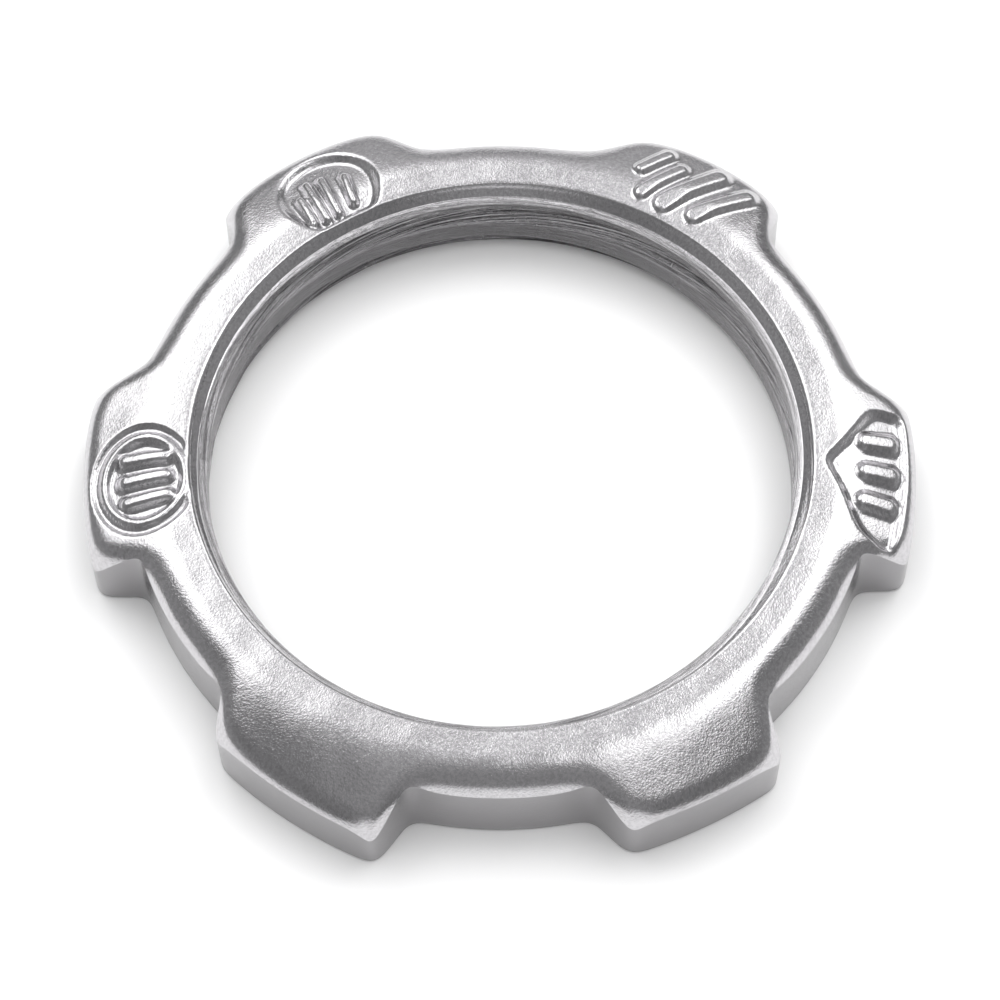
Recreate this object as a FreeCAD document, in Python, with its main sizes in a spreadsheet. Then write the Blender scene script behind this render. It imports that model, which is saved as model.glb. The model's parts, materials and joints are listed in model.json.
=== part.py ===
"""Conduit locknut, 1/2 inch trade size: a one-piece zinc casting with six driving lugs.

Frame: millimetres, +Z up, origin at the centre of the flat bearing face, which is the
plane Z = 0. The bore runs along Z. Lug 0 points along +X, and the lugs count upwards
anticlockwise seen from above. The crowned face with the cast marks looks up.
"""
import FreeCAD, Part
import Sketcher
import math
import os

# Driving dimensions: alias, value, what it is. Lengths in mm, angles in degrees.
DIMENSIONS = [
    ("body_radius", 12.45, "outer wall of the ring between the lugs"),
    ("lug_radius", 14.05, "outer wall of the lugs"),
    ("crown_height", 3.4, "height of the crown, the top of the part"),
    ("crown_inner_radius", 10.7, "inner edge of the narrow flat along the crown"),
    ("crown_radius", 11.2, "outer edge of that flat"),
    ("inner_edge_radius", 10.4, "where the crowned face meets the bore's lead-in"),
    ("inner_edge_height", 3.3, "height of that edge"),
    ("wall_height", 2.5, "outer walls of ring and lugs, before their edge is rounded"),
    ("minor_radius", 9.85, "thread crest, the smallest radius of the bore"),
    ("major_radius", 10.67, "thread root, half of the 0.840 inch of the mating pipe"),
    ("thread_pitch", 1.814, "14 threads per inch"),
    ("half_groove", 0.5, "half of the thread groove's width at the crest"),
    ("half_root", 0.06, "half of the flat at the thread root"),
    ("overcut", 0.3, "how far the groove's cutting profile reaches inside the crest"),
    ("groove_start", 2.014, "how far below the bearing face the groove starts, at +X"),
    ("groove_rise", 5.14, "rise of the groove from its start to its end"),
    ("top_lead_in_height", 2.95, "where the top lead-in meets the thread crest"),
    ("bottom_lead_in", 0.35, "leg of the 45 degree lead-in at the bearing face"),
    ("lug_count", 6, "number of lugs"),
    ("lug_angle", 32.0, "angle that one lug takes up"),
    ("lug_round", 0.4, "rounding of the lugs' upright corners and rims"),
    ("rim_round", 0.45, "rounding of the ring's rim between the lugs"),
    ("mark_radius", 12.0, "distance of the cast marks from the bore's axis"),
    ("mark_height", 3.147, "height of the lugs' tops at that distance"),
    ("mark_slope", 17.5, "slope of the lugs' tops"),
    ("mark_depth", 0.25, "how deep the panels of the marks are sunk"),
    ("rib_rise", 0.1, "how far the ribs of the marks stand proud"),
    ("panel_radius", 1.5, "radius of the round sunk panels"),
    ("wedge_reach", 1.35, "how far the three-sided panel reaches in and out"),
    ("wedge_half_width", 1.8, "half of that panel's outer side"),
    ("bar_half_width", 0.21, "half of the width of a bar in the marks"),
    ("bar_half_length", 0.85, "half of the length of a bar in the marks"),
    ("bar_pitch", 0.9, "spacing of the bars in the marks"),
]


def make_sheet(doc):
    """Write the driving dimensions, each under its alias."""
    sheet = doc.addObject("Spreadsheet::Sheet", "dims")
    for row, (alias, value, note) in enumerate(DIMENSIONS, start=1):
        sheet.set(f"A{row}", alias)
        sheet.set(f"B{row}", str(value))
        sheet.set(f"C{row}", note)
        sheet.setAlias(f"B{row}", alias)
    doc.recompute()
    return sheet


def is_alias(word):
    """A formula is aliases and numbers, joined by + and - signs between spaces."""
    return word[0].isalpha()


def measure(sheet, formula):
    """The value of a formula, to draw a shape in place before its sizes are bound."""
    total = 0.0
    sign = 1.0
    for word in formula.split():
        if word in "+-":
            sign = 1.0 if word == "+" else -1.0
        else:
            total += sign * float(getattr(sheet, word) if is_alias(word) else word)
    return total


def bound(formula):
    """The same formula as an expression that reads the sheet."""
    words = ["dims." + word if is_alias(word) else word for word in formula.split()]
    return " ".join(words)


def origin_feature(body, role):
    """The body's own origin plane or axis with the given role."""
    return next(part for part in body.Origin.OriginFeatures if part.Role == role)


def make_sketch(body, name, role):
    """An empty sketch on one of the body's origin planes."""
    sketch = body.newObject("Sketcher::SketchObject", name)
    sketch.AttachmentSupport = (origin_feature(body, role), [""])
    sketch.MapMode = "FlatFace"
    return sketch


def pin_vertex(sketch, sheet, vertex, kind, formula):
    """Hold a vertex at a bound distance from the sketch's origin, along X or Y."""
    value = measure(sheet, formula)
    if abs(value) < 1e-9:
        axis = {"DistanceX": -2, "DistanceY": -1}[kind]
        sketch.addConstraint(Sketcher.Constraint("PointOnObject", *vertex, axis))
        return
    index = sketch.addConstraint(Sketcher.Constraint(kind, -1, 1, *vertex, value))
    sketch.setExpression(f"Constraints[{index}]", bound(formula))


def draw_polygon(sketch, sheet, corners):
    """A closed polygon whose corners are pairs of formulas."""
    points = [FreeCAD.Vector(measure(sheet, x), measure(sheet, y), 0) for x, y in corners]
    first = sketch.GeometryCount
    count = len(points)
    for index, point in enumerate(points):
        sketch.addGeometry(Part.LineSegment(point, points[(index + 1) % count]), False)
    for index, (x, y) in enumerate(corners):
        line = first + index
        following = first + (index + 1) % count
        sketch.addConstraint(Sketcher.Constraint("Coincident", line, 2, following, 1))
        pin_vertex(sketch, sheet, (line, 1), "DistanceX", x)
        pin_vertex(sketch, sheet, (line, 1), "DistanceY", y)


def draw_circle(sketch, sheet, radius):
    """A circle about the sketch's origin."""
    centre = FreeCAD.Vector(0, 0, 0)
    circle = Part.Circle(centre, FreeCAD.Vector(0, 0, 1), measure(sheet, radius))
    index = sketch.addGeometry(circle, False)
    sketch.addConstraint(Sketcher.Constraint("Coincident", index, 3, -1, 1))
    size = sketch.addConstraint(Sketcher.Constraint("Radius", index, circle.Radius))
    sketch.setExpression(f"Constraints[{size}]", bound(radius))


def draw_bar(sketch, sheet, along, across):
    """A rectangle for one bar of a mark; `across` is the middle of the bar in Y."""
    left = f"{along} - bar_half_length"
    right = f"{along} + bar_half_length"
    low = f"{across} - bar_half_width"
    high = f"{across} + bar_half_width"
    draw_polygon(sketch, sheet, [(left, low), (right, low), (right, high), (left, high)])


def revolve(body, name, sketch, angle):
    """A solid of revolution about the bore's axis, centred on the sketch's plane."""
    solid = body.newObject("PartDesign::Revolution", name)
    solid.Profile = sketch
    solid.ReferenceAxis = (sketch, ["V_Axis"])
    solid.Midplane = True
    if is_alias(angle):
        solid.setExpression("Angle", bound(angle))
    else:
        solid.Angle = float(angle)
    return solid


def make_ring(body, sheet):
    """The ring: flat bearing face, upright outer wall, crowned top and two lead-ins."""
    section = make_sketch(body, "ring_section", "XZ_Plane")
    draw_polygon(section, sheet, [
        ("minor_radius", "bottom_lead_in"),
        ("minor_radius + bottom_lead_in", "0"),
        ("body_radius", "0"),
        ("body_radius", "wall_height"),
        ("crown_radius", "crown_height"),
        ("crown_inner_radius", "crown_height"),
        ("inner_edge_radius", "inner_edge_height"),
        ("minor_radius", "top_lead_in_height"),
    ])
    revolve(body, "ring", section, "360")


def make_lugs(body, sheet, doc):
    """One lug, a wedge of revolution that slopes down from the crown, and its pattern."""
    section = make_sketch(body, "lug_section", "XZ_Plane")
    draw_polygon(section, sheet, [
        ("crown_radius", "0"),
        ("lug_radius", "0"),
        ("lug_radius", "wall_height"),
        ("crown_radius", "crown_height"),
    ])
    lug = revolve(body, "lug", section, "lug_angle")
    doc.recompute()
    pattern = body.newObject("PartDesign::PolarPattern", "lugs")
    pattern.Originals = [lug]
    pattern.Axis = (origin_feature(body, "Z_Axis"), [""])
    pattern.Angle = 360
    pattern.setExpression("Occurrences", "dims.lug_count")
    body.Tip = pattern


def edge_names(shape, wanted):
    """Names of the edges for which `wanted` is true."""
    numbered = enumerate(shape.Edges, start=1)
    return [f"Edge{number}" for number, edge in numbered if wanted(edge)]


def round_edges(body, doc, name, radius, wanted):
    """Fillet the wanted edges of the body as it stands."""
    doc.recompute()
    base = body.Tip
    fillet = body.newObject("PartDesign::Fillet", name)
    fillet.Base = (base, edge_names(base.Shape, wanted))
    fillet.setExpression("Radius", bound(radius))
    body.Tip = fillet
    doc.recompute()


def middle_radius(edge):
    """Distance from the bore's axis to the middle of an edge."""
    middle = edge.valueAt((edge.FirstParameter + edge.LastParameter) / 2)
    return math.hypot(middle.x, middle.y)


def is_upright(edge):
    """True for a straight edge along Z."""
    box = edge.BoundBox
    return box.ZLength > 1.0 and box.XLength < 1e-3 and box.YLength < 1e-3


def lies_on(edge, radius, height):
    """True for an edge that follows the circle of that radius at that height."""
    box = edge.BoundBox
    level = box.ZLength < 1e-3 and abs(box.ZMin - height) < 1e-3
    return level and abs(middle_radius(edge) - radius) < 1e-2


def round_casting(body, doc, sheet):
    """Round the lugs' corners and rims, then the ring's rims."""
    body_radius, lug_radius, rim = (
        measure(sheet, alias) for alias in ("body_radius", "lug_radius", "wall_height"))

    def is_lug_edge(edge):
        corner = is_upright(edge) and abs(middle_radius(edge) - lug_radius) < 1e-2
        return corner or lies_on(edge, lug_radius, rim)

    round_edges(body, doc, "lug_round_off", "lug_round", is_lug_edge)
    round_edges(body, doc, "rim_round_off", "rim_round",
                lambda edge: lies_on(edge, body_radius, rim))


def cut_thread(body, sheet, doc):
    """The right-hand thread groove, a 60 degree V with a narrow flat at its root."""
    section = make_sketch(body, "groove_section", "XZ_Plane")
    inner = "minor_radius - overcut"
    draw_polygon(section, sheet, [
        (inner, "0 - groove_start - half_groove"),
        ("minor_radius", "0 - groove_start - half_groove"),
        ("major_radius", "0 - groove_start - half_root"),
        ("major_radius", "0 - groove_start + half_root"),
        ("minor_radius", "0 - groove_start + half_groove"),
        (inner, "0 - groove_start + half_groove"),
    ])
    doc.recompute()
    groove = body.newObject("PartDesign::SubtractiveHelix", "thread")
    groove.Profile = section
    groove.ReferenceAxis = (section, ["V_Axis"])
    groove.Mode = "pitch-height-angle"
    groove.setExpression("Pitch", "dims.thread_pitch")
    groove.setExpression("Height", "dims.groove_rise")
    body.Tip = groove
    doc.recompute()


def mark_sketch(body, sheet, lug, name):
    """A sketch in the plane of a mark's floor: X points outwards, Y along the lug."""
    direction = lug * 360.0 / measure(sheet, "lug_count")
    sketch = make_sketch(body, name, "XY_Plane")
    turn = FreeCAD.Rotation(FreeCAD.Vector(0, 0, 1), direction)
    tilt = FreeCAD.Rotation(FreeCAD.Vector(0, 1, 0), measure(sheet, "mark_slope"))
    sketch.AttachmentOffset = FreeCAD.Placement(FreeCAD.Vector(0, 0, 0), turn * tilt)
    sketch.setExpression(
        "AttachmentOffset.Base.x", f"dims.mark_radius * cos({direction} deg)")
    sketch.setExpression(
        "AttachmentOffset.Base.y", f"dims.mark_radius * sin({direction} deg)")
    sketch.setExpression("AttachmentOffset.Base.z", "dims.mark_height - dims.mark_depth")
    return sketch


def sink(body, doc, name, sketch):
    """Cut a mark's panel from its floor upwards, leaving its bars standing."""
    doc.recompute()
    before = body.Tip.Shape.Volume
    pocket = body.newObject("PartDesign::Pocket", name)
    pocket.Profile = sketch
    pocket.Reversed = True
    pocket.setExpression("Length", "4 * dims.mark_depth")
    body.Tip = pocket
    doc.recompute()
    if not pocket.Shape.Volume < before - 0.1:
        raise RuntimeError(f"{name} cuts nothing")


def make_round_panel(body, sheet, doc, lug, name):
    """A round sunk panel with three upright bars, a plain stand-in for a cast mark."""
    sketch = mark_sketch(body, sheet, lug, name + "_outline")
    draw_circle(sketch, sheet, "panel_radius")
    for across in ("0 - bar_pitch", "0", "bar_pitch"):
        draw_bar(sketch, sheet, "0", across)
    sink(body, doc, name, sketch)


def make_wedge_panel(body, sheet, doc, lug, name):
    """A three-sided sunk panel that points inwards, with two bars."""
    sketch = mark_sketch(body, sheet, lug, name + "_outline")
    draw_polygon(sketch, sheet, [
        ("0 - wedge_reach", "0"),
        ("wedge_reach", "0 - wedge_half_width"),
        ("wedge_reach", "wedge_half_width"),
    ])
    sink(body, doc, name, sketch)


def make_ribs(body, sheet, doc, lug, name):
    """Three ribs that stand proud of the lug's top."""
    sketch = mark_sketch(body, sheet, lug, name + "_outline")
    for across in ("0 - bar_pitch", "0", "bar_pitch"):
        draw_bar(sketch, sheet, "0", across)
    doc.recompute()
    ribs = body.newObject("PartDesign::Pad", name)
    ribs.Profile = sketch
    ribs.setExpression("Length", "dims.mark_depth + dims.rib_rise")
    body.Tip = ribs
    doc.recompute()


def make_locknut(doc, sheet):
    """The whole locknut as one body."""
    body = doc.addObject("PartDesign::Body", "locknut")
    body.Label = "locknut"
    make_ring(body, sheet)
    make_lugs(body, sheet, doc)
    round_casting(body, doc, sheet)
    make_round_panel(body, sheet, doc, 2, "upper_panel")
    make_round_panel(body, sheet, doc, 3, "side_panel")
    make_ribs(body, sheet, doc, 1, "ribs")
    make_wedge_panel(body, sheet, doc, 0, "wedge_panel")
    cut_thread(body, sheet, doc)
    return body


def check_document(doc, parts):
    """Stop before anything is written if an object failed or a shape is unsound."""
    for item in doc.Objects:
        if "Invalid" in item.State or "Error" in item.State:
            raise RuntimeError(f"{item.Name} failed: {item.State}")
    for part in parts:
        shape = part.Shape
        if shape.isNull() or not shape.isValid() or len(shape.Solids) != 1:
            raise RuntimeError(f"{part.Label} is not one sound solid")


def main():
    doc = FreeCAD.newDocument("conduit_locknut")
    sheet = make_sheet(doc)
    parts = [make_locknut(doc, sheet)]
    doc.recompute()
    check_document(doc, parts)
    os.makedirs("parts", exist_ok=True)
    for part in parts:
        part.Shape.exportStep(os.path.join("parts", part.Label + ".step"))
        print(part.Label, "volume", round(part.Shape.Volume, 1), "mm3")


main()
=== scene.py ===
"""Conduit locknut: the cast piece's visible surface, its material and a plain studio.

Lengths in the mesh code are millimetres and angles are degrees, in the frame of the CAD
model: the bearing face is Z = 0, the bore runs along Z, and lug k points at 60 * k.
"""
import json
import math

import bpy
import numpy as np
from mathutils import Matrix, Vector


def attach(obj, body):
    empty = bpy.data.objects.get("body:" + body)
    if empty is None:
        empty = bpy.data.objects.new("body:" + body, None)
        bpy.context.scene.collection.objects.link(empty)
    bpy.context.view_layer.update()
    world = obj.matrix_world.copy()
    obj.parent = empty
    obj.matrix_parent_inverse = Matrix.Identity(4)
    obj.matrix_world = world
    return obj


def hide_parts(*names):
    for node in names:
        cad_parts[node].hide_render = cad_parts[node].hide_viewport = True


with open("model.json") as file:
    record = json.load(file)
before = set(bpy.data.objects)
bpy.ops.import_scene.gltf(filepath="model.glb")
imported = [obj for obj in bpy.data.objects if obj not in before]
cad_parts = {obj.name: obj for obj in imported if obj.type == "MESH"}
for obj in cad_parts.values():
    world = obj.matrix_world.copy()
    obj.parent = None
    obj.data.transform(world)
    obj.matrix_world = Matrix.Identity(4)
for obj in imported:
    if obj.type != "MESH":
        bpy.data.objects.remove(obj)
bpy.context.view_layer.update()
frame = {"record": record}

MM = 0.001
BORE = next(m for m in frame["record"]["mounts"] if m["name"] == "thread_bore")

# The ring: its radii, its walls' draft and where the rounding at its foot begins.
BODY_RADIUS = 12.45
INNER_RADIUS = 10.35
DRAFT = 0.05
FOOT_HEIGHT = 0.1
FOOT_ROUND = ((0.03, 0.03), (0.1, 0.0))

# The thread: its radii and pitch, how high the groove's middle is at +X, half its width
# at the crest, how far along Z a flank runs, and how soft the flank's edge is.
CREST_RADIUS = BORE["dims"]["r_mm"]
ROOT_RADIUS = 10.67
PITCH = 1.814
GROOVE_AT_X = 1.607
GROOVE_HALF_WIDTH = 0.5
FLANK_RUN = 0.44
GROOVE_SOFTNESS = 0.03

# The lead-ins, which widen the bore at both ends.
LEAD_IN_FOOT = 2.75
LEAD_IN_SLOPE = 1.1
LEAD_IN_EDGE = 0.04
BOTTOM_LEAD_IN = 0.35

# The crowned face: a plateau that bends down outwards, less so on the lugs, and that is
# rounded off at the bore. The cast marks may rise to HIGHEST.
TOP_HEIGHT = 3.3
HIGHEST = 3.44
HIGHEST_SOFTNESS = 0.02
PLATEAU_END = 11.15
CROWN_SLOPE = 0.42
CROWN_SLOPE_LESS = 0.06
CROWN_BEND = 0.6
BORE_ROUND_START = 10.5
BORE_ROUND = 1.5
UNEVENNESS = 0.012

# The slope and the chamfer along the rim: depth and width, and how much less on a lug.
RIM_SLOPE = 0.22
RIM_SLOPE_LESS = 0.09
RIM_SLOPE_WIDTH = 1.05
RIM_SLOPE_WIDTH_LESS = 0.4
CHAMFER = 0.22
CHAMFER_LESS = 0.04
CHAMFER_SOFTNESS = 0.04

# How far the outline's corners are softened at the rim, at the bearing face and, for the
# slopes of the crowned face, in from the rim.
RIM_ROUNDING = 0.16
FOOT_ROUNDING = 0.3
SLOPE_ROUNDING = 0.8

# The mesh: points round the outline, columns round the bore, and rows on each surface.
OUTLINE_POINTS = 4800
COLUMNS = 820
TOP_ROWS = 46
WALL_ROWS = 12
FLOOR_ROWS = 4
BORE_ROWS = 54

# Distances to the outline are a soft mean over this much squared distance, in square
# millimetres, and are worked out for this many points at a time.
INSET_SOFTNESS = 0.12
INSET_BATCH = 4000

# Lug k points at this many degrees times k, and its sides are this soft.
LUG_STEP = 60.0
LUG_SOFTNESS = 4.0

# The cast marks: how far either side of a lug they may lie, and the radius at which
# their lengths along the lug are true.
MARK_REACH = 22.0
MARK_RADIUS = 12.0

# The second colour is for worn streaks and specks, and for painted shade on the upright
# walls.
BRIGHT_ZINC = (0.63, 0.62, 0.635)
WORN_AND_SHADED_ZINC = (0.2, 0.194, 0.2)

# Each texture's fineness, per metre, and the height in metres of those that are bumps.
GRAIN = (15500.0, 0.000009)
DIMPLES = (3400.0, 0.000005)
TOOL_MARKS = (19000.0, 0.00016)
PATCHES = 900.0
SPECKS = 9000.0

# The surround's brightness along Y, from -1 to 1, in its middle strip, and along |X|
# beside it, as (position, brightness) stops. The strip ends softly between two |X|.
STRIP = ((0.0, 1.1), (0.02, 0.7), (0.06, 0.38), (0.15, 0.3), (0.3, 0.32), (0.4, 0.42),
         (0.5, 0.5), (0.62, 0.56), (0.76, 0.74), (0.93, 0.7), (1.0, 0.35))
SIDES = ((0.2, 0.24), (0.5, 0.2), (1.0, 0.36))
STRIP_EDGE = (0.18, 0.42)

LIGHT_DISTANCE = 0.5

# The lights that the face mirrors: direction, direction of the long side, size, radiance.
SOFTBOXES = [
    ("left_softbox", (-0.42, 0.49, 0.76), (-0.2, -0.94, 0.32), (0.46, 0.33), 1.6),
    ("right_softbox", (0.44, 0.49, 0.75), (0.1, 0.9, -0.4), (0.4, 0.3), 1.55),
    ("near_softbox", (0.27, 0.14, 0.95), (0.15, 0.95, -0.25), (0.38, 0.15), 1.3),
]

# The outline of each lug, from its clockwise end to its anticlockwise end: where the end
# walls stand and how wide their ramps are, in degrees from the lug's own direction, and
# how far the two ends and the middle reach, as multiples of the ring's radius.
LUGS = [
    {"ends": (-16.9, 11.0), "ramps": (3.0, 5.0), "reach": (1.125, 1.117, 1.117)},
    {"ends": (-15.8, 12.4), "ramps": (4.5, 9.0), "reach": (1.125, 1.135, 1.110)},
    {"ends": (-14.2, 16.6), "ramps": (5.5, 4.0), "reach": (1.125, 1.138, 1.112)},
    {"ends": (-13.2, 18.2), "ramps": (6.0, 3.0), "reach": (1.125, 1.125, 1.130)},
    {"ends": (-13.6, 15.4), "ramps": (5.0, 4.0), "reach": (1.100, 1.118, 1.146)},
    {"ends": (-14.2, 11.8), "ramps": (5.0, 4.5), "reach": (1.122, 1.125, 1.140)},
]


def smooth_step(value, low, high):
    """0 below low, 1 above high, with a curve of zero slope at both ends."""
    share = np.clip((value - low) / (high - low), 0.0, 1.0)
    return share * share * (3.0 - 2.0 * share)


def soft_ramp(value, softness):
    """0 below 0 and the value itself above, with a soft bend between."""
    share = np.clip(value / softness, -40.0, 40.0)
    return np.where(share > 30.0, value, softness * np.log1p(np.exp(share)))


def from_lug(angle, number):
    """Angles in degrees measured from a lug's own direction, from -180 to 180."""
    return (angle - LUG_STEP * number + 180.0) % 360.0 - 180.0


# ---------------------------------------------------------------- outline of the casting

def outline_radius(angle):
    """Outer radius of the casting at the bearing face, for angles in degrees."""
    radius = np.full_like(angle, BODY_RADIUS)
    for number, lug in enumerate(LUGS):
        local = from_lug(angle, number)
        (start, end), (ramp_in, ramp_out) = lug["ends"], lug["ramps"]
        rise = smooth_step(local, start - ramp_in / 2, start + ramp_in / 2)
        fall = 1.0 - smooth_step(local, end - ramp_out / 2, end + ramp_out / 2)
        share = np.clip((local - start) / (end - start), 0.0, 1.0)
        first, middle, last = lug["reach"]
        reach = (first * (1 - share) * (1 - 2 * share) + 4 * middle * share * (1 - share)
                 + last * share * (2 * share - 1))
        radius += BODY_RADIUS * (reach - 1.0) * rise * fall
    return radius


def lug_share(angle):
    """1 in the middle of a lug and 0 between lugs, with soft sides."""
    share = np.zeros_like(angle)
    for number, lug in enumerate(LUGS):
        local = from_lug(angle, number)
        start, end = lug["ends"]
        rise = smooth_step(local, start - LUG_SOFTNESS, start + LUG_SOFTNESS)
        share += rise * (1.0 - smooth_step(local, end - LUG_SOFTNESS, end + LUG_SOFTNESS))
    return share


def plan_points(angle, radius):
    """Plan positions for angles in degrees."""
    turn = np.radians(angle)
    return np.stack([radius * np.cos(turn), radius * np.sin(turn)], axis=-1)


def polar(points):
    """Radius, and angle in degrees from 0 to 360, of plan positions."""
    angle = np.degrees(np.arctan2(points[:, 1], points[:, 0])) % 360.0
    return np.hypot(points[:, 0], points[:, 1]), angle


def even_outline():
    """The raw outline as points at even steps, and their spacing."""
    angle = np.linspace(0.0, 360.0, 36001)
    points = plan_points(angle, outline_radius(angle))
    steps = np.linalg.norm(np.diff(points, axis=0), axis=1)
    travelled = np.concatenate([[0.0], np.cumsum(steps)])
    wanted = np.arange(OUTLINE_POINTS) * travelled[-1] / OUTLINE_POINTS
    even = np.stack([np.interp(wanted, travelled, points[:, i]) for i in (0, 1)], axis=-1)
    return even, travelled[-1] / OUTLINE_POINTS


def soften(points, spacing, width):
    """Round the corners of a closed outline with a Gaussian of that width."""
    frequency = np.fft.fftfreq(len(points), spacing)
    keep = np.exp(-2.0 * (math.pi * frequency * width) ** 2)
    complex_points = points[:, 0] + 1j * points[:, 1]
    soft = np.fft.ifft(np.fft.fft(complex_points) * keep)
    return np.stack([soft.real, soft.imag], axis=-1)


def column_places(outline):
    """Where the mesh's columns stand on the outline: closer on the marked lugs."""
    angle = polar(outline)[1]
    marked = (angle < 200.0) | (angle > 340.0)
    density = np.where(marked, 1.0 + 0.5 * lug_share(angle), 0.9)
    travelled = np.concatenate([[0.0], np.cumsum(density)])
    wanted = np.arange(COLUMNS) * travelled[-1] / COLUMNS
    return np.interp(wanted, travelled, np.arange(len(outline) + 1))


def pick(outline, places):
    """Points of a closed outline at fractional places along it."""
    closed = np.concatenate([outline, outline[:1]])
    index = np.arange(len(closed))
    return np.stack([np.interp(places, index, closed[:, i]) for i in (0, 1)], axis=-1)


def outline_normals(points):
    """Outward unit normals of a closed anticlockwise outline."""
    ahead = np.roll(points, -1, axis=0) - np.roll(points, 1, axis=0)
    normal = np.stack([ahead[:, 1], -ahead[:, 0]], axis=-1)
    return normal / np.linalg.norm(normal, axis=1, keepdims=True)


def inset(points, outline):
    """Smooth signed distance from points to a closed outline, positive inside it."""
    normal = outline_normals(outline)
    result = np.empty(len(points))
    for first in range(0, len(points), INSET_BATCH):
        part = points[first:first + INSET_BATCH]
        away = outline[None, :, :] - part[:, None, :]
        square = (away ** 2).sum(-1)
        weight = np.exp(-(square - square.min(1, keepdims=True)) / INSET_SOFTNESS)
        signed = (away * normal[None, :, :]).sum(-1)
        result[first:first + INSET_BATCH] = (signed * weight).sum(1) / weight.sum(1)
    return result


# ---------------------------------------------------------------- cast marks

def segment_gap(out, along, start, end):
    """Distance from points to a straight segment, in a lug's own plane."""
    start = np.array(start)
    span = np.array(end) - start
    share = ((out - start[0]) * span[0] + (along - start[1]) * span[1]) / (span @ span)
    share = np.clip(share, 0.0, 1.0)
    return np.hypot(out - start[0] - share * span[0], along - start[1] - share * span[1])


def ridge(out, along, start, end, half_width, height):
    """A straight rounded ridge."""
    gap = segment_gap(out, along, start, end)
    return height * (1.0 - smooth_step(gap, half_width * 0.45, half_width * 1.35))


def sink(inside, depth, slope_width):
    """A panel sunk below the surface; `inside` grows inwards from the panel's edge."""
    return -depth * smooth_step(inside, 0.0, slope_width)


def inside_polygon(out, along, corners):
    """Distance inside a convex anticlockwise polygon, with soft corners."""
    total = 0.0
    for (x, y), (next_x, next_y) in zip(corners, corners[1:] + corners[:1]):
        run, rise = next_x - x, next_y - y
        length = math.hypot(run, rise)
        gap = ((out - x) * -rise + (along - y) * run) / length
        total = total + np.exp(np.clip(-8.0 * gap, -60.0, 60.0))
    return -np.log(total) / 8.0


def upper_left_mark(out, along):
    """Lug 2: a round sunk panel with four parallel ribs."""
    gap = np.hypot(out - 11.78, along - 0.15)
    height = sink(1.9 - gap, 0.28, 0.42)
    for place, low, high in ((1.28, 10.9, 12.1), (0.76, 10.8, 12.6),
                             (0.24, 10.8, 12.5), (-0.5, 11.0, 12.2)):
        height += ridge(out, along, (low, place + 0.1), (high, place - 0.1), 0.19, 0.26)
    return height


def left_mark(out, along):
    """Lug 3: two round grooves about a disc with three plain bars."""
    gap = np.hypot((out - 11.85) / 0.86, along - 1.3)
    outer = 1.0 - smooth_step(np.abs(gap - 1.9), 0.07, 0.2)
    height = -0.15 * outer + sink(1.55 - gap, 0.24, 0.24)
    for place in (0.5, 1.27, 2.04):
        height += ridge(out, along, (11.1, place), (12.5, place), 0.26, 0.25)
    return height


def upper_right_mark(out, along):
    """Lug 1: slanted parallel ridges."""
    height = np.zeros_like(out)
    for start, end, width, rise in (((12.1, 1.35), (13.2, 0.8), 0.26, 0.2),
                                    ((11.1, 0.9), (12.8, 0.15), 0.27, 0.18),
                                    ((11.05, -0.05), (13.3, -1.0), 0.36, 0.24),
                                    ((11.2, -1.3), (13.2, -2.15), 0.32, 0.22)):
        height += ridge(out, along, start, end, width, rise)
    return height


def right_mark(out, along):
    """Lug 0: a sunk panel that points inwards, with three plain blocks."""
    corners = [(10.6, -0.55), (12.0, -3.1), (13.5, -3.7), (13.6, 1.3), (12.4, 1.55)]
    height = sink(inside_polygon(out, along, corners), 0.24, 0.32)
    for place in (0.3, -0.8, -1.9):
        height += ridge(out, along, (12.2, place), (13.0, place), 0.34, 0.22)
    return height


MARKS = {0: right_mark, 1: upper_right_mark, 2: upper_left_mark, 3: left_mark}


def mark_height(points):
    """Height that the cast marks add at plan positions."""
    radius, angle = polar(points)
    height = np.zeros(len(points))
    for number, mark in MARKS.items():
        local = from_lug(angle, number)
        near = np.abs(local) < MARK_REACH
        height[near] += mark(radius[near], np.radians(local[near]) * MARK_RADIUS)
    return height


# ---------------------------------------------------------------- surfaces

def waviness(points):
    """Slow unevenness of a cast surface, a sum of a few fixed waves, about 0 +- 1."""
    x, y = points[:, 0], points[:, 1]
    waves = ((0.9, 1.7, 0.3), (-2.1, 1.1, 1.9), (1.6, -2.6, 4.0), (3.3, 2.2, 2.2),
             (-3.6, 3.1, 5.1), (4.4, -1.7, 0.8))
    return sum(np.sin(a * x + b * y + c) / (1.0 + 0.4 * n)
               for n, (a, b, c) in enumerate(waves)) / 2.5


def top_height(points, rim, guide):
    """Height of the crowned face at plan positions.

    `rim` is the face's own outline, and `guide` a softer one that its edge slopes follow.
    """
    radius, angle = polar(points)
    share = lug_share(angle)
    outside = np.maximum(radius - PLATEAU_END, 0.0)
    inside = np.maximum(BORE_ROUND_START - radius, 0.0)
    bend = outside - CROWN_BEND * (1.0 - np.exp(-outside / CROWN_BEND))
    fall = (CROWN_SLOPE - CROWN_SLOPE_LESS * share) * bend
    crown = TOP_HEIGHT - fall - BORE_ROUND * inside ** 2
    gap = inset(points, guide)
    width = RIM_SLOPE_WIDTH - RIM_SLOPE_WIDTH_LESS * share
    slope = (RIM_SLOPE - RIM_SLOPE_LESS * share) * np.maximum(1.0 - gap / width, 0.0) ** 2
    chamfer = soft_ramp(CHAMFER - CHAMFER_LESS * share - gap, CHAMFER_SOFTNESS)
    fade = (smooth_step(inset(points, rim), 0.05, 0.3)
            * smooth_step(radius, INNER_RADIUS, INNER_RADIUS + 0.3))
    height = crown - slope - chamfer
    height += (mark_height(points) + UNEVENNESS * waviness(points)) * fade
    return height - soft_ramp(height - HIGHEST, HIGHEST_SOFTNESS)


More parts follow.
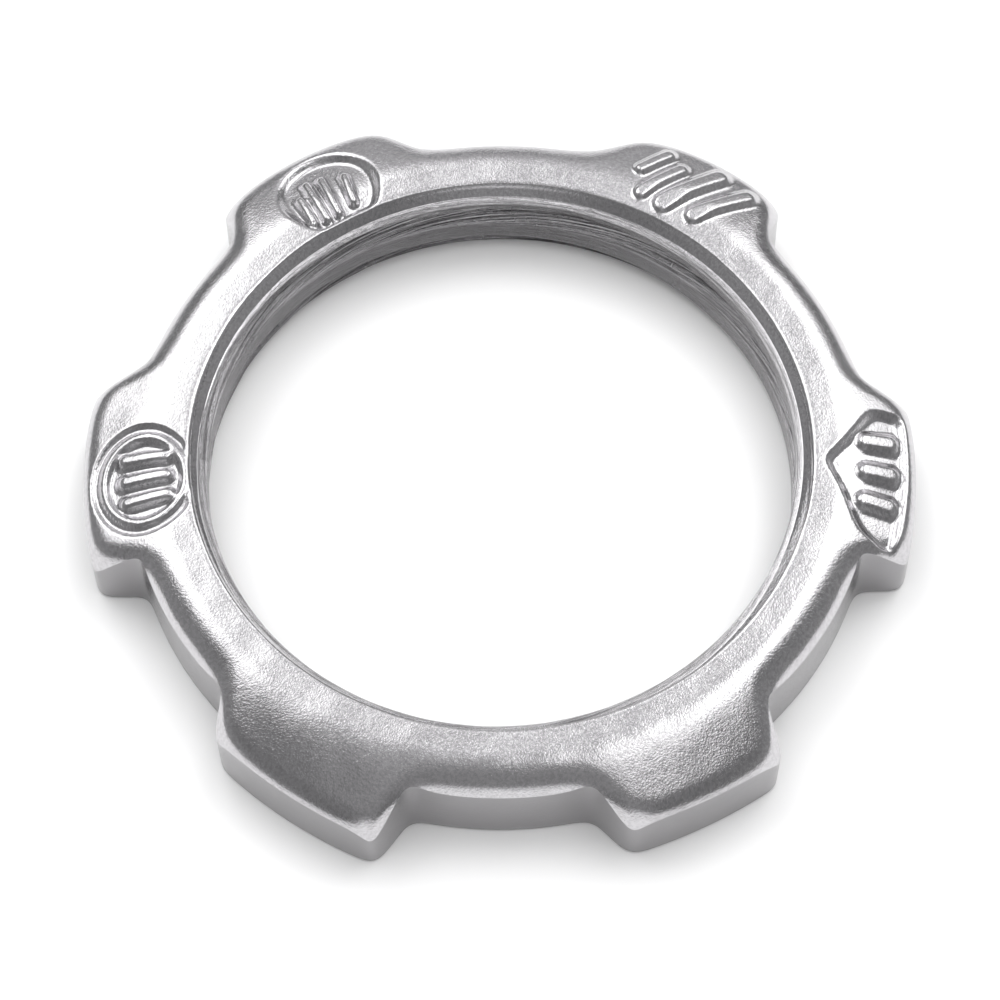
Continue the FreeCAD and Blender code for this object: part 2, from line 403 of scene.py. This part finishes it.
def bore_radius(angle, height):
    """Radius of the threaded bore: the crest, the helical groove and the two lead-ins."""
    middle = GROOVE_AT_X + PITCH * angle / 360.0
    phase = (height - middle + PITCH / 2) % PITCH - PITCH / 2
    reach = ROOT_RADIUS - CREST_RADIUS
    depth = (GROOVE_HALF_WIDTH - np.abs(phase)) * reach / FLANK_RUN
    depth = np.minimum(soft_ramp(depth, GROOVE_SOFTNESS), reach)
    top = (height - LEAD_IN_FOOT) * LEAD_IN_SLOPE
    bottom = BOTTOM_LEAD_IN - height
    return CREST_RADIUS + np.maximum(np.maximum(depth, top), np.maximum(bottom, 0.0))


def ring_rows():
    """The casting's surface as closed rings of points, in order round its section.

    Returns the rings and the numbers of those that are sharp edges.
    """
    raw, spacing = even_outline()
    places = column_places(raw)
    outline = pick(soften(raw, spacing, FOOT_ROUNDING), places)
    edge = pick(soften(raw, spacing, RIM_ROUNDING), places)
    guide = soften(raw, spacing, SLOPE_ROUNDING)[::8]
    rim = edge - DRAFT * outline_normals(edge)
    angle = polar(rim)[1]
    normal = outline_normals(outline)
    rings = []

    # The crowned face, from the bore's edge out to the rim.
    inner = plan_points(angle, np.full_like(angle, INNER_RADIUS))
    for share in np.linspace(0.0, 1.0, TOP_ROWS):
        flat = inner + (rim - inner) * share
        rings.append((flat, top_height(flat, rim, guide)))
    top = rings[-1][1]

    # The outer wall, down to the rounding at the bearing face.
    for share in np.linspace(0.0, 1.0, WALL_ROWS + 1)[1:]:
        rings.append((rim + (outline - rim) * share, top + (FOOT_HEIGHT - top) * share))
    for in_by, height in FOOT_ROUND:
        rings.append((outline - normal * in_by, np.full_like(angle, height)))

    # The bearing face and its lead-in.
    foot = plan_points(angle, np.full_like(angle, CREST_RADIUS + BOTTOM_LEAD_IN))
    flat = rings[-1][0]
    for share in np.linspace(0.0, 1.0, FLOOR_ROWS + 1)[1:]:
        rings.append((flat + (foot - flat) * share, np.zeros_like(angle)))
    foot_row = len(rings) - 1

    # The bore, from the bearing face up to the lead-in at the crowned face.
    for share in np.linspace(0.0, 1.0, BORE_ROWS + 2)[1:-1]:
        height = share * (rings[0][1] - LEAD_IN_EDGE)
        rings.append((plan_points(angle, bore_radius(angle, height)), height))
    return rings, (TOP_ROWS - 1, foot_row)


def mark_sharp(mesh, sharp_rows):
    """Keep the edges along whole rings crisp."""
    for edge in mesh.edges:
        first, second = (vertex // COLUMNS for vertex in edge.vertices)
        edge.use_edge_sharp = first == second and first in sharp_rows


def make_casting():
    """The locknut's visible surface, one closed mesh."""
    rings, sharp_rows = ring_rows()
    points = np.array([np.column_stack([flat, height]) for flat, height in rings])
    rows = len(rings)
    column = np.arange(COLUMNS)
    following = (column + 1) % COLUMNS
    faces = []
    for row in range(rows):
        near, far = row * COLUMNS, (row + 1) % rows * COLUMNS
        faces.append(np.stack([near + column, far + column, far + following,
                               near + following], axis=-1))
    mesh = bpy.data.meshes.new("casting")
    mesh.from_pydata(points.reshape(-1, 3) * MM, [], np.concatenate(faces).tolist())
    mesh.shade_smooth()
    mark_sharp(mesh, sharp_rows)
    mesh.validate()
    casting = bpy.data.objects.new("casting", mesh)
    bpy.context.scene.collection.objects.link(casting)
    return casting


# ---------------------------------------------------------------- material

def add_node(tree, kind, **inputs):
    """A shader node with its sockets set by name; a socket in the value is linked."""
    node = tree.nodes.new(kind)
    for name, value in inputs.items():
        socket = node.inputs[name.replace("_", " ")]
        if isinstance(value, bpy.types.NodeSocket):
            tree.links.new(value, socket)
        else:
            socket.default_value = value
    return node


def remap(tree, value, low, high, to_low, to_high):
    """Scale a value from one range to another."""
    node = tree.nodes.new("ShaderNodeMapRange")
    tree.links.new(value, node.inputs["Value"])
    node.inputs["From Min"].default_value = low
    node.inputs["From Max"].default_value = high
    node.inputs["To Min"].default_value = to_low
    node.inputs["To Max"].default_value = to_high
    return node.outputs["Result"]


def math_node(tree, operation, first, second):
    """A maths node; either value may be a socket or a number."""
    node = tree.nodes.new("ShaderNodeMath")
    node.operation = operation
    for socket, value in zip(node.inputs, (first, second)):
        if isinstance(value, bpy.types.NodeSocket):
            tree.links.new(value, socket)
        else:
            socket.default_value = value
    return node.outputs["Value"]


def mix_colours(tree, share, first, second):
    """`first` where share is 0 and `second` where it is 1; each a socket or a colour."""
    node = tree.nodes.new("ShaderNodeMix")
    node.data_type = "RGBA"
    # For colours, the factor is socket 0, the two inputs are 6 and 7, and the result is 2.
    tree.links.new(share, node.inputs[0])
    for socket, colour in zip((node.inputs[6], node.inputs[7]), (first, second)):
        if isinstance(colour, bpy.types.NodeSocket):
            tree.links.new(colour, socket)
        else:
            socket.default_value = (*colour, 1.0)
    return node.outputs[2]


def noise(tree, place, scale, detail, roughness):
    """Fractal noise from 0 to 1."""
    return add_node(tree, "ShaderNodeTexNoise", Vector=place, Scale=scale, Detail=detail,
                    Roughness=roughness).outputs["Fac"]


def bump(tree, height, distance, under=None):
    """A bump of that height in metres, laid over another one."""
    node = add_node(tree, "ShaderNodeBump", Height=height, Strength=1.0, Distance=distance)
    if under is not None:
        tree.links.new(under, node.inputs["Normal"])
    return node.outputs["Normal"]


def bore_share(tree, place):
    """1 in the bore and 0 on the rest of the casting, and the angle round the bore."""
    split = add_node(tree, "ShaderNodeSeparateXYZ", Vector=place)
    angle = math_node(tree, "ARCTAN2", split.outputs["Y"], split.outputs["X"])
    flat = add_node(tree, "ShaderNodeCombineXYZ", X=split.outputs["X"],
                    Y=split.outputs["Y"]).outputs["Vector"]
    length = tree.nodes.new("ShaderNodeVectorMath")
    length.operation = "LENGTH"
    tree.links.new(flat, length.inputs[0])
    above = remap(tree, split.outputs["Z"], 0.00255, 0.00295, 0.0, 0.00075)
    radius = math_node(tree, "ADD", length.outputs["Value"], above)
    return remap(tree, radius, 0.01045, 0.0108, 1.0, 0.0), angle, split.outputs["Z"]


def zinc_material():
    """Bright tumbled zinc: a neutral metal, satin, with a fine cast grain."""
    material = bpy.data.materials.new("bright_zinc")
    material.use_nodes = True
    tree = material.node_tree
    tree.nodes.clear()
    place = tree.nodes.new("ShaderNodeTexCoord").outputs["Object"]
    bore, angle, height = bore_share(tree, place)

    # Tool marks run round the bore; the whole piece has a grain and shallow dimples.
    around = add_node(tree, "ShaderNodeCombineXYZ", X=math_node(tree, "MULTIPLY", angle, 2.0),
                      Y=math_node(tree, "MULTIPLY", height, TOOL_MARKS[0])).outputs["Vector"]
    streaks = noise(tree, around, 1.0, 4.0, 0.65)
    marks = math_node(tree, "MULTIPLY", streaks, bore)
    grain = noise(tree, place, GRAIN[0], 2.0, 0.65)
    dimples = noise(tree, place, DIMPLES[0], 2.0, 0.5)
    normal = bump(tree, grain, GRAIN[1])
    normal = bump(tree, dimples, DIMPLES[1], normal)
    normal = bump(tree, marks, TOOL_MARKS[1], normal)

    # Worn streaks in the bore and scattered specks are duller; the upright walls get the dull
    # colour as painted shade.
    patches = noise(tree, place, PATCHES, 3.0, 0.6)
    roughness = remap(tree, patches, 0.3, 0.7, 0.12, 0.2)
    worn = math_node(tree, "MULTIPLY", bore, remap(tree, streaks, 0.38, 0.54, 0.9, 0.0))
    specks = remap(tree, noise(tree, place, SPECKS, 3.0, 0.7), 0.38, 0.58, 0.22, 0.0)
    facing = add_node(tree, "ShaderNodeSeparateXYZ",
                      Vector=tree.nodes.new("ShaderNodeNewGeometry").outputs["Normal"])
    # Painted shade: faces that stand upright take the darker colour by the direction they
    # face.
    upright_painted_shade = remap(tree, facing.outputs["Z"], 0.15, 0.4, 0.66, 0.0)
    wear_and_painted_shade = math_node(tree, "MAXIMUM", math_node(tree, "MAXIMUM", worn, upright_painted_shade), specks)
    colour = mix_colours(tree, wear_and_painted_shade, BRIGHT_ZINC, WORN_AND_SHADED_ZINC)
    shader = add_node(tree, "ShaderNodeBsdfPrincipled", Base_Color=colour, Metallic=1.0,
                      Roughness=math_node(tree, "ADD", roughness,
                                          math_node(tree, "MULTIPLY", bore, 0.08)),
                      Normal=normal)
    output = tree.nodes.new("ShaderNodeOutputMaterial")
    tree.links.new(shader.outputs["BSDF"], output.inputs["Surface"])
    return material


# ---------------------------------------------------------------- studio

def plain_material(name, colour, roughness):
    """A plain matt material."""
    material = bpy.data.materials.new(name)
    material.use_nodes = True
    shader = material.node_tree.nodes["Principled BSDF"]
    shader.inputs["Base Color"].default_value = (*colour, 1.0)
    shader.inputs["Roughness"].default_value = roughness
    return material


def make_floor():
    """A wide pale floor under the part."""
    mesh = bpy.data.meshes.new("floor")
    half = 2.0
    corners = [(-half, -half, 0), (half, -half, 0), (half, half, 0), (-half, half, 0)]
    mesh.from_pydata(corners, [], [(0, 1, 2, 3)])
    floor = bpy.data.objects.new("floor", mesh)
    bpy.context.scene.collection.objects.link(floor)
    floor.data.materials.append(plain_material("floor_white", (0.94, 0.94, 0.94), 0.9))
    floor.location.z = -0.00002    # just clear of the bearing face
    return floor


def add_softbox(name, away, long_side, size, radiance):
    """A soft oval light that faces the part.

    `away` is the direction to its middle, `long_side` the direction of its longer side
    and `size` its long and short sides, seen from `LIGHT_DISTANCE`.
    """
    long_edge, short_edge = size
    data = bpy.data.lights.new(name, "AREA")
    data.shape = "ELLIPSE"
    data.size, data.size_y = short_edge, long_edge
    data.energy = radiance * math.pi * long_edge * short_edge
    light = bpy.data.objects.new(name, data)
    back = Vector(away).normalized()
    side = Vector(long_side).cross(back).normalized()
    upward = back.cross(side)
    light.rotation_euler = Matrix((side, upward, back)).transposed().to_euler()
    light.location = back * LIGHT_DISTANCE
    bpy.context.scene.collection.objects.link(light)
    return light


def ramp(tree, value, stops):
    """A colour ramp of greys, given as (position, brightness) pairs."""
    node = tree.nodes.new("ShaderNodeValToRGB")
    tree.links.new(value, node.inputs["Fac"])
    elements = node.color_ramp.elements
    while len(elements) < len(stops):
        elements.new(0.5)
    for element, (position, grey) in zip(elements, stops):
        element.position = position
        element.color = (grey, grey, grey * 1.01, 1.0)
    return node.outputs["Color"]


def make_world():
    """The studio's surround: a pale strip overhead, from far to near, and dim sides."""
    world = bpy.data.worlds.new("studio")
    bpy.context.scene.world = world
    world.use_nodes = True
    tree = world.node_tree
    tree.nodes.clear()
    place = tree.nodes.new("ShaderNodeTexCoord").outputs["Generated"]
    split = add_node(tree, "ShaderNodeSeparateXYZ", Vector=place)
    sideways = tree.nodes.new("ShaderNodeMath")
    sideways.operation = "ABSOLUTE"
    tree.links.new(split.outputs["X"], sideways.inputs[0])
    strip = remap(tree, split.outputs["Y"], -1.0, 1.0, 0.0, 1.0)
    pale = ramp(tree, strip, STRIP)
    dim = ramp(tree, sideways.outputs["Value"], SIDES)
    edge = remap(tree, sideways.outputs["Value"], *STRIP_EDGE, 0.0, 1.0)
    colour = mix_colours(tree, edge, pale, dim)
    background = add_node(tree, "ShaderNodeBackground", Color=colour, Strength=1.0)
    output = tree.nodes.new("ShaderNodeOutputWorld")
    tree.links.new(background.outputs["Background"], output.inputs["Surface"])


def make_camera():
    """The camera: a long lens, about 62 degrees above the floor, that looks along +Y."""
    data = bpy.data.cameras.new("camera")
    data.sensor_width = 36.0
    data.lens = 110.6
    data.shift_x = -0.0012
    data.shift_y = -0.0094
    data.clip_start = 0.01
    camera = bpy.data.objects.new("camera", data)
    turn, lift, distance = math.radians(-88.72), math.radians(61.66), 0.1048
    away = Vector((math.cos(turn) * math.cos(lift), math.sin(turn) * math.cos(lift),
                   math.sin(lift)))
    camera.location = away * distance
    facing = away.to_track_quat("Z", "Y").to_matrix()
    roll = Matrix.Rotation(math.radians(-0.96), 3, "Z")
    camera.rotation_euler = (facing @ roll).to_euler()
    bpy.context.scene.collection.objects.link(camera)
    bpy.context.scene.camera = camera


def main():
    casting = make_casting()
    casting.data.materials.append(zinc_material())
    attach(casting, "root")
    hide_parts("locknut")
    make_floor()
    make_world()
    for softbox in SOFTBOXES:
        add_softbox(*softbox)
    fill = add_softbox("floor_fill", (0.0, 0.0, 1.0), (0.0, 1.0, 0.0), (0.9, 0.9), 0.95)
    fill.visible_glossy = False
    make_camera()
    bpy.context.scene.view_settings.view_transform = "Standard"


main()
